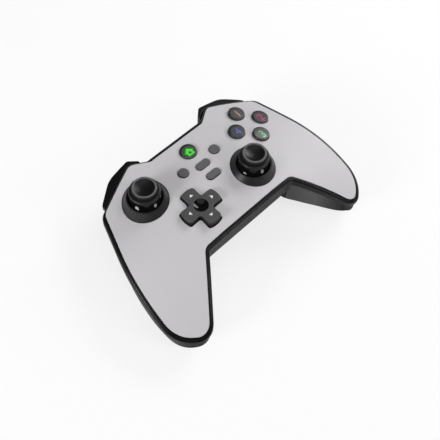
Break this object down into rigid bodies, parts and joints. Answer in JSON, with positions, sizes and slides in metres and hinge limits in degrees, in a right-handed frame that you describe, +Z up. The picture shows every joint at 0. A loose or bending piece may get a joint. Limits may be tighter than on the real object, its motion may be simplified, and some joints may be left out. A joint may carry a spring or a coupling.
{
  "type": "gamepad controller",
  "caption": "Wireless gamepad with a light face plate, black rim, two offset thumbsticks, a cross-shaped direction pad, push buttons, shoulder bumpers, triggers and two swelling grips.",
  "frame": {"origin": "middle of the pad's outline, on the table that it lies on", "axes": "+X to the pad's right hand side as its user sees it, +Y towards the triggers, +Z up"},
  "size_m": [0.1568, 0.1068, 0.054],
  "materials": {
    "light_shell": "fine satin grain",
    "black_shell": "satin",
    "grip_shell": "fine grain",
    "stick_collar": "satin",
    "stick_dome": "polished",
    "stick_cap": "soft, satin",
    "dpad": "fine grain",
    "dpad_dish": "polished",
    "face_button": "polished",
    "home_button": "polished, lit mark",
    "small_button": "satin",
    "trigger": "satin",
    "inner_plastic": "as moulded",
    "white_plastic": "as moulded",
    "board": "lacquered",
    "soft_rubber": "matt",
    "battery": "wrapped",
    "steel": "plain",
    "light": "clear"
  },
  "bodies": {
    "housing": {"battery": "battery", "bumper_pins": "steel", "bumper_switches": "inner_plastic", "charge_socket": "steel", "dpad_bracket": "white_plastic", "face_plate": "light_shell", "front_shell": "black_shell", "grip_back_left": "grip_shell", "grip_back_right": "grip_shell", "home_light": "light", "main_board": "board", "rear_tray": "grip_shell", "rubber_buttons": "soft_rubber", "rubber_centre": "soft_rubber", "rubber_dpad": "soft_rubber", "rumble_motor_left": "steel", "rumble_motor_right": "steel", "screws": "steel", "shoulder_frame_left": "inner_plastic", "shoulder_frame_right": "inner_plastic", "stick_collar_left": "stick_collar", "stick_collar_right": "stick_collar", "stick_module_left": "steel", "stick_module_right": "steel", "trigger_pins": "steel", "trigger_spring_left": "steel", "trigger_spring_right": "steel"},
    "stick_press_left": {"stick_carriage_left": "white_plastic"},
    "stick_tilt_left": {"stick_yoke_left": "inner_plastic"},
    "stick_left": {"stick_shaft_left": "white_plastic", "stick_dome_left": "stick_dome", "stick_cap_left": "stick_cap"},
    "stick_press_right": {"stick_carriage_right": "white_plastic"},
    "stick_tilt_right": {"stick_yoke_right": "inner_plastic"},
    "stick_right": {"stick_shaft_right": "white_plastic", "stick_dome_right": "stick_dome", "stick_cap_right": "stick_cap"},
    "dpad_rocker": {"dpad_rocker": "white_plastic"},
    "dpad": {"dpad_cross": "dpad", "dpad_dish": "dpad_dish"},
    "button_top": {"button_top": "face_button"},
    "button_right": {"button_right": "face_button"},
    "button_bottom": {"button_bottom": "face_button"},
    "button_left": {"button_left": "face_button"},
    "home_button": {"home_button": "home_button"},
    "round_button_left": {"round_button_left": "small_button"},
    "round_button_right": {"round_button_right": "small_button"},
    "pill_button_upper": {"pill_button_upper": "small_button"},
    "pill_button_lower": {"pill_button_lower": "small_button"},
    "bumper_right": {"bumper_right": "black_shell"},
    "trigger_right": {"trigger_right": "trigger"},
    "rumble_weight_right": {"rumble_weight_right": "steel"},
    "bumper_left": {"bumper_left": "black_shell"},
    "trigger_left": {"trigger_left": "trigger"},
    "rumble_weight_left": {"rumble_weight_left": "steel"}
  },
  "joints": [
    {"name": "stick_press_left_slide", "type": "slide", "parent": "housing", "child": "stick_press_left", "axis": [0, -0.1564, -0.9877], "range_m": [0, 0.0006], "stiffness_N_per_m": 1500, "springref_m": -0.0005},
    {"name": "stick_tilt_left_hinge", "type": "hinge", "parent": "stick_press_left", "child": "stick_tilt_left", "pos_m": [-0.0394, 0.02492, 0.03082], "axis": [1, 0, 0], "range_deg": [-18, 18], "stiffness_Nm_per_rad": 0.08},
    {"name": "stick_left_hinge", "type": "hinge", "parent": "stick_tilt_left", "child": "stick_left", "pos_m": [-0.0394, 0.02492, 0.03082], "axis": [0, 0.9877, -0.1564], "range_deg": [-18, 18], "stiffness_Nm_per_rad": 0.08},
    {"name": "stick_press_right_slide", "type": "slide", "parent": "housing", "child": "stick_press_right", "axis": [0, -0.1564, -0.9877], "range_m": [0, 0.0006], "stiffness_N_per_m": 1500, "springref_m": -0.0005},
    {"name": "stick_tilt_right_hinge", "type": "hinge", "parent": "stick_press_right", "child": "stick_tilt_right", "pos_m": [0.0212, 0.00013, 0.03474], "axis": [1, 0, 0], "range_deg": [-18, 18], "stiffness_Nm_per_rad": 0.08},
    {"name": "stick_right_hinge", "type": "hinge", "parent": "stick_tilt_right", "child": "stick_right", "pos_m": [0.0212, 0.00013, 0.03474], "axis": [0, 0.9877, -0.1564], "range_deg": [-18, 18], "stiffness_Nm_per_rad": 0.08},
    {"name": "dpad_rocker_hinge", "type": "hinge", "parent": "housing", "child": "dpad_rocker", "pos_m": [-0.0203, 0.00033, 0.0341], "axis": [1, 0, 0], "range_deg": [-4.5, 4.5], "stiffness_Nm_per_rad": 0.3},
    {"name": "dpad_hinge", "type": "hinge", "parent": "dpad_rocker", "child": "dpad", "pos_m": [-0.0203, 0.00033, 0.0341], "axis": [0, 0.9877, -0.1564], "range_deg": [-4.5, 4.5], "stiffness_Nm_per_rad": 0.3},
    {"name": "button_top_press", "type": "slide", "parent": "housing", "child": "button_top", "axis": [0, -0.1564, -0.9877], "range_m": [0, 0.0012], "stiffness_N_per_m": 500, "springref_m": -0.0006},
    {"name": "button_right_press", "type": "slide", "parent": "housing", "child": "button_right", "axis": [0, -0.1564, -0.9877], "range_m": [0, 0.0012], "stiffness_N_per_m": 500, "springref_m": -0.0006},
    {"name": "button_bottom_press", "type": "slide", "parent": "housing", "child": "button_bottom", "axis": [0, -0.1564, -0.9877], "range_m": [0, 0.0012], "stiffness_N_per_m": 500, "springref_m": -0.0006},
    {"name": "button_left_press", "type": "slide", "parent": "housing", "child": "button_left", "axis": [0, -0.1564, -0.9877], "range_m": [0, 0.0012], "stiffness_N_per_m": 500, "springref_m": -0.0006},
    {"name": "home_button_press", "type": "slide", "parent": "housing", "child": "home_button", "axis": [0, -0.1564, -0.9877], "range_m": [0, 0.001], "stiffness_N_per_m": 500, "springref_m": -0.0006},
    {"name": "round_button_left_press", "type": "slide", "parent": "housing", "child": "round_button_left", "axis": [0, -0.1564, -0.9877], "range_m": [0, 0.0008], "stiffness_N_per_m": 500, "springref_m": -0.0006},
    {"name": "round_button_right_press", "type": "slide", "parent": "housing", "child": "round_button_right", "axis": [0, -0.1564, -0.9877], "range_m": [0, 0.0008], "stiffness_N_per_m": 500, "springref_m": -0.0006},
    {"name": "pill_button_upper_press", "type": "slide", "parent": "housing", "child": "pill_button_upper", "axis": [0, -0.1564, -0.9877], "range_m": [0, 0.0008], "stiffness_N_per_m": 500, "springref_m": -0.0006},
    {"name": "pill_button_lower_press", "type": "slide", "parent": "housing", "child": "pill_button_lower", "axis": [0, -0.1564, -0.9877], "range_m": [0, 0.0008], "stiffness_N_per_m": 500, "springref_m": -0.0006},
    {"name": "bumper_right_hinge", "type": "hinge", "parent": "housing", "child": "bumper_right", "pos_m": [0.0276, 0.05013, 0.0244], "axis": [0, -0.1564, -0.9877], "range_deg": [0, 1.2], "stiffness_Nm_per_rad": 0.8, "springref_deg": -1.72},
    {"name": "trigger_right_hinge", "type": "hinge", "parent": "housing", "child": "trigger_right", "pos_m": [0.0445, 0.03805, 0.0178], "axis": [-1, 0, 0], "range_deg": [0, 16], "stiffness_Nm_per_rad": 0.15, "springref_deg": -14.32},
    {"name": "rumble_right_spin", "type": "hinge", "parent": "housing", "child": "rumble_weight_right", "pos_m": [0.056, -0.01175, 0.01344], "axis": [0, 0.9877, -0.1564], "continuous": true},
    {"name": "bumper_left_hinge", "type": "hinge", "parent": "housing", "child": "bumper_left", "pos_m": [-0.0276, 0.05013, 0.0244], "axis": [0, 0.1564, 0.9877], "range_deg": [0, 1.2], "stiffness_Nm_per_rad": 0.8, "springref_deg": -1.72},
    {"name": "trigger_left_hinge", "type": "hinge", "parent": "housing", "child": "trigger_left", "pos_m": [-0.0445, 0.03805, 0.0178], "axis": [-1, 0, 0], "range_deg": [0, 16], "stiffness_Nm_per_rad": 0.15, "springref_deg": -14.32},
    {"name": "rumble_left_spin", "type": "hinge", "parent": "housing", "child": "rumble_weight_left", "pos_m": [-0.056, -0.01175, 0.01344], "axis": [0, 0.9877, -0.1564], "continuous": true}
  ]
}
